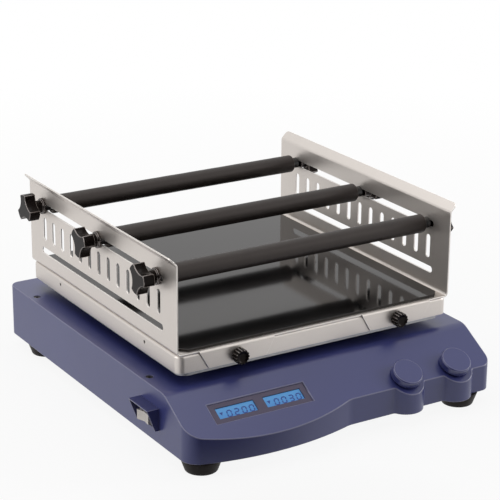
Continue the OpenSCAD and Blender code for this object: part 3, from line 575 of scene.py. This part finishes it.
def add_stand_in(name, mesh_maker, body, node):
    """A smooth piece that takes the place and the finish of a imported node."""
    slot = SLOT_OF[node]
    piece = add_piece(name, mesh_maker, body, MATERIALS[slot])
    # The piece also takes the slot's painted edge highlight, if it has one.
    if slot in EDGE_HIGHLIGHT:
        piece.data.materials.append(EDGE_HIGHLIGHT[slot])
    smooth_faces(piece.data)
    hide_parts(node)
    return piece


def packed_shape(node):
    """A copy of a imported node's mesh, with whole flat faces in place of its triangles."""
    mesh_maker = bmesh.new()
    mesh_maker.from_mesh(NODES[node].data)
    bmesh.ops.remove_doubles(mesh_maker, verts=mesh_maker.verts, dist=WELD)
    bmesh.ops.dissolve_limit(
        mesh_maker, angle_limit=FLAT_ANGLE, verts=mesh_maker.verts, edges=mesh_maker.edges,
    )
    return mesh_maker


# Soft pieces, which take the place of their plain solids
ROUND_STEPS = 6
QUARTER_TURN = [math.pi / 2 * i / ROUND_STEPS for i in range(ROUND_STEPS + 1)]
SLEEVE_SIDES = 64
# Step between a sleeve's rings, radius of its rolled ends and room round its rod
SLEEVE_RING = 8 * MM
SLEEVE_ROUND = 2.2 * MM
SLEEVE_FIT = 0.05 * MM
# Depth and lengths of the waves in its outside
SLEEVE_WAVE = 0.12 * MM
WAVE_LENGTHS = (47 * MM, 29 * MM)
MAT_ROUND = 0.9 * MM
MAT_SEGMENTS = 4


def sleeve_outline(half, radius, bore):
    """Section of a sleeve with rolled ends and an uneven outside.

    Each point is a place along the bar and a distance from its axis.
    """
    flank = half - SLEEVE_ROUND
    shoulder = radius - SLEEVE_ROUND
    right_end = [
        (flank + SLEEVE_ROUND * math.cos(a), shoulder + SLEEVE_ROUND * math.sin(a)) for a in QUARTER_TURN
    ]
    left_end = [(-x, r) for x, r in reversed(right_end)]
    rings = round(2 * flank / SLEEVE_RING)
    outside = []
    for i in range(1, rings):
        x = flank - 2 * flank * i / rings
        wave = sum(math.sin(2 * math.pi * x / length) for length in WAVE_LENGTHS) / len(WAVE_LENGTHS)
        outside.append((x, radius - SLEEVE_WAVE * (1 + wave) / 2))
    return [(-half, bore), (half, bore), *right_end, *outside, *left_end]


def add_sleeve(bar):
    node = f"{bar}_sleeve"
    low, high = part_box(node)
    rod_low, rod_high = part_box(f"{bar}_rod")
    centre = (low + high) / 2
    bore = (rod_high.z - rod_low.z) / 2 + SLEEVE_FIT
    outline = sleeve_outline((high.x - low.x) / 2, (high.z - low.z) / 2, bore)
    mesh_maker = bmesh.new()
    section = [mesh_maker.verts.new(centre + Vector((x, 0, r))) for x, r in outline]
    edges = [mesh_maker.edges.new(pair) for pair in zip(section, section[1:] + section[:1])]
    bmesh.ops.spin(
        mesh_maker, geom=section + edges, cent=centre, axis=(1, 0, 0),
        angle=2 * math.pi, steps=SLEEVE_SIDES, use_merge=True,
    )
    bmesh.ops.remove_doubles(mesh_maker, verts=mesh_maker.verts, dist=WELD)
    sleeve = add_stand_in(f"{bar}_bar_sleeve", mesh_maker, f"{bar}_bar", node)


def add_mat():
    """The mat with its upper edge rolled over."""
    mesh_maker = packed_shape("mat")
    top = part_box("mat")[1].z
    rim = [e for e in mesh_maker.edges if all(top - v.co.z < WELD for v in e.verts)]
    bmesh.ops.bevel(
        mesh_maker, geom=rim, offset=MAT_ROUND, segments=MAT_SEGMENTS, profile=ROUND_PROFILE,
        affect="EDGES",
    )
    mat = add_stand_in("platform_mat", mesh_maker, "platform", "mat")
    weigh_normals(mat, FLAT_WEIGHT)


# Shells and sheets, whose outer edges are rounded rim by rim, so that a tight one doesn't narrow the rest
# Length from which a rim is rounded at its full width
LONG_RIM = 1000 * MM
# Width of the rounded edge round the display window
WINDOW_EDGE = 1.15 * MM
ROUNDED = [
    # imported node, name of the piece that takes its place, body, width of the rounded edges
    ("housing", "housing_shell", "base", 0.8 * MM),
    ("platform", "platform_tray", "platform", 0.4 * MM),
    ("carrier", "carrier_sheet", "platform", 0.3 * MM),
]


def rims(edges):
    """Groups of edges that touch."""
    remaining = dict.fromkeys(edges)
    groups = []
    while remaining:
        group = [next(iter(remaining))]
        del remaining[group[0]]
        for edge in group:
            for other in [e for vertex in edge.verts for e in vertex.link_edges]:
                if other in remaining:
                    del remaining[other]
                    group.append(other)
        groups.append(group)
    return groups


def around(rim, node):
    """Whether a rim has its middle in a node's box."""
    points = [vertex.co for edge in rim for vertex in edge.verts]
    centre = sum(points, Vector()) / len(points)
    low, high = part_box(node)
    return all(low[i] < centre[i] < high[i] for i in range(3))


def add_rounded(node, name, body, edge):
    """A shell with round edges, where a long rim keeps its full width past its shortest edges."""
    mesh_maker = packed_shape(node)
    sharp = [e for e in mesh_maker.edges if e.is_convex and e.calc_face_angle() > SHARP_ANGLE]
    for rim in rims(sharp):
        is_long = sum(e.calc_length() for e in rim) > LONG_RIM
        width = WINDOW_EDGE if around(rim, "display_bezel") else edge
        # Each rim is rounded with the painted edge highlight as its material.
        bmesh.ops.bevel(
            mesh_maker, geom=rim, offset=width, segments=EDGE_SEGMENTS, profile=ROUND_PROFILE,
            affect="EDGES", clamp_overlap=not is_long, material=HIGHLIGHT_INDEX,
        )
    weigh_normals(add_stand_in(name, mesh_maker, body, node))


# Thumbscrews, with deep flutes, rounded ends and a dished face
FLUTES = 14
FLUTE_SIDES = 8
HEAD_SIDES = FLUTES * FLUTE_SIDES
FLUTE_DEPTH = 1.1 * MM
HEAD_ROUND = 0.9 * MM
# Share of the head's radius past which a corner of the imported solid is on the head
HEAD_SHARE = 0.8
DISH_RIM = 2.3 * MM
DISH_DEPTH = 1.6 * MM


def thumbscrew_outline(inner, outer, radius, stud, stud_radius):
    """Section of a thumbscrew, whose head runs from inner to outer along its axis.

    Each point is a place along the axis, a distance from it and a share of the flutes' depth.
    """
    arc = [(HEAD_ROUND * (1 - math.cos(a)), HEAD_ROUND * (1 - math.sin(a))) for a in QUARTER_TURN]
    inner_end = [(inner + along, radius - inset, 1) for along, inset in arc]
    outer_end = [(outer - along, radius - inset, 1) for along, inset in reversed(arc)]
    dish = radius - DISH_RIM
    return [
        (stud, stud_radius, 0),
        (inner, stud_radius, 0),
        *inner_end,
        *outer_end,
        (outer, dish, 0),
        (outer - DISH_DEPTH / 2, dish - DISH_DEPTH / 4, 0),
        (outer - DISH_DEPTH, dish / 2, 0),
    ]


def fluted_ring(mesh_maker, centre, y, away, share):
    """Ring of points round a thumbscrew's axis, drawn in at each flute by a share of its depth."""
    ring = []
    for i in range(HEAD_SIDES):
        angle = 2 * math.pi * i / HEAD_SIDES
        flute = (1 - math.cos(FLUTES * angle)) / 2
        reach = away - share * FLUTE_DEPTH * flute
        x = centre.x + reach * math.cos(angle)
        z = centre.z + reach * math.sin(angle)
        ring.append(mesh_maker.verts.new((x, y, z)))
    return ring


def join_rings(mesh_maker, ring, following, is_fluted):
    """Faces between two rings, with a painted highlight on the ridges between the flutes."""
    for i in range(HEAD_SIDES):
        j = (i + 1) % HEAD_SIDES
        face = mesh_maker.faces.new((ring[i], ring[j], following[j], following[i]))
        on_ridge = i % FLUTE_SIDES in (0, FLUTE_SIDES - 1)
        if is_fluted and on_ridge:
            face.material_index = HIGHLIGHT_INDEX


def add_thumbscrew(node):
    low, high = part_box(node)
    centre = (low + high) / 2
    radius = (high.z - low.z) / 2
    outward = math.copysign(1, centre.y - middle("platform").y)
    corners = [vertex.co for vertex in NODES[node].data.vertices]
    places = [(outward * c.y, math.hypot(c.x - centre.x, c.z - centre.z)) for c in corners]
    on_head = [along for along, away in places if away > HEAD_SHARE * radius]
    inner, outer = min(on_head), max(on_head)
    stud = min(along for along, away in places)
    stud_radius = max(away for along, away in places if along < inner - WELD)
    outline = thumbscrew_outline(inner, outer, radius, stud, stud_radius)
    mesh_maker = bmesh.new()
    rings = [
        fluted_ring(mesh_maker, centre, outward * along, away, share) for along, away, share in outline
    ]
    shares = [share for along, away, share in outline]
    for k in range(len(rings) - 1):
        join_rings(mesh_maker, rings[k], rings[k + 1], is_fluted=shares[k] and shares[k + 1])
    mesh_maker.faces.new(rings[0])
    mesh_maker.faces.new(rings[-1])
    where = node.removeprefix("thumbscrew_")
    weigh_normals(add_stand_in(f"{where}_thumbscrew", mesh_maker, node, node))


# Digits on the displays, built on the panel's slope
DIGIT_W, DIGIT_H = 4.6 * MM, 7.2 * MM
DIGIT_PITCH = 8.6 * MM
DIGIT_LEFT, DIGIT_FOOT = 10.2 * MM, 0.8 * MM
DIGIT_SLANT = 0.12
STROKE = 1.4 * MM
STROKE_GAP = 0.12 * MM
INK_T = 0.06 * MM
# Small triangle before the digits
MARK_LEFT, MARK_FOOT = 1.9 * MM, 3.9 * MM
MARK_W, MARK_H = 4.0 * MM, 3.8 * MM
STROKES = {
    # name of a stroke: its two ends, in widths and heights of a digit
    "top": ((0, 1), (1, 1)),
    "middle": ((0, 0.5), (1, 0.5)),
    "foot": ((0, 0), (1, 0)),
    "upper_left": ((0, 0.5), (0, 1)),
    "lower_left": ((0, 0), (0, 0.5)),
    "upper_right": ((1, 0.5), (1, 1)),
    "lower_right": ((1, 0), (1, 0.5)),
}
DIGITS = {
    "0": ("top", "foot", "upper_left", "lower_left", "upper_right", "lower_right"),
    "2": ("top", "upper_right", "middle", "lower_left", "foot"),
    "3": ("top", "upper_right", "middle", "lower_right", "foot"),
}
READINGS = {"speed_display": "0200", "time_display": "0030"}


def stroke_outline(start, end):
    """Corners of one stroke: a bar with pointed ends."""
    along = (end - start).normalized()
    side = Vector((-along.y, along.x)) * STROKE / 2
    first, last = start + along * STROKE_GAP, end - along * STROKE_GAP
    inner, outer = first + along * STROKE / 2, last - along * STROKE / 2
    return [first, inner + side, outer + side, last, outer - side, inner - side]


def slanted(point):
    return Vector((point.x + DIGIT_SLANT * (point.y - DIGIT_FOOT), point.y))


def reading_outlines(text):
    """The mark before a reading and each of its strokes, from the display's lower left corner."""
    mark_top = MARK_FOOT + MARK_H
    outlines = [[
        Vector((MARK_LEFT, mark_top)),
        Vector((MARK_LEFT + MARK_W / 2, MARK_FOOT)),
        Vector((MARK_LEFT + MARK_W, mark_top)),
    ]]
    for i, digit in enumerate(text):
        corner = Vector((DIGIT_LEFT + i * DIGIT_PITCH, DIGIT_FOOT))
        for stroke in DIGITS[digit]:
            ends = [corner + Vector((u * DIGIT_W, v * DIGIT_H)) for u, v in STROKES[stroke]]
            outlines.append(stroke_outline(*ends))
    return [[slanted(point) for point in outline] for outline in outlines]


def panel_axes():
    """Right, up the slope, and out of the panel."""
    joints = {joint["name"]: joint for joint in frame["record"]["behaviour"]["joints"]}
    out = Vector(joints["speed_turn"]["axis"]).normalized()
    right = Vector((1, 0, 0))
    return Matrix((right, out.cross(right), out))


def add_reading(node, text, ink):
    axes = panel_axes()
    corners = [axes @ vertex.co for vertex in NODES[node].data.vertices]
    low = Vector((min(c.x for c in corners), min(c.y for c in corners), max(c.z for c in corners)))
    mesh_maker = bmesh.new()
    for outline in reading_outlines(text):
        face = mesh_maker.faces.new([mesh_maker.verts.new(low + point.to_3d()) for point in outline])
        raised = bmesh.ops.extrude_face_region(mesh_maker, geom=[face])["geom"]
        tops = [part for part in raised if isinstance(part, bmesh.types.BMVert)]
        bmesh.ops.translate(mesh_maker, vec=(0, 0, INK_T), verts=tops)
    bmesh.ops.transform(mesh_maker, matrix=axes.transposed().to_4x4(), verts=mesh_maker.verts)
    add_piece(node.replace("display", "digits"), mesh_maker, "base", ink)


# The whole scene
make_camera()
make_world()
make_floor()
make_cards()
make_lamps()
scene.view_settings.view_transform = "Standard"

finish_nodes()
for node, width in SOFT_EDGES.items():
    soften(node, width)
for node in nodes_named("clamp_knob"):
    soften(node, KNOB_EDGE, KNOB_SEGMENTS)
for node in nodes_named("thumbscrew"):
    add_thumbscrew(node)
for bar in BARS:
    add_sleeve(bar)
add_mat()
for shell in ROUNDED:
    add_rounded(*shell)
ink = display_ink()
for node, text in READINGS.items():
    add_reading(node, text, ink)
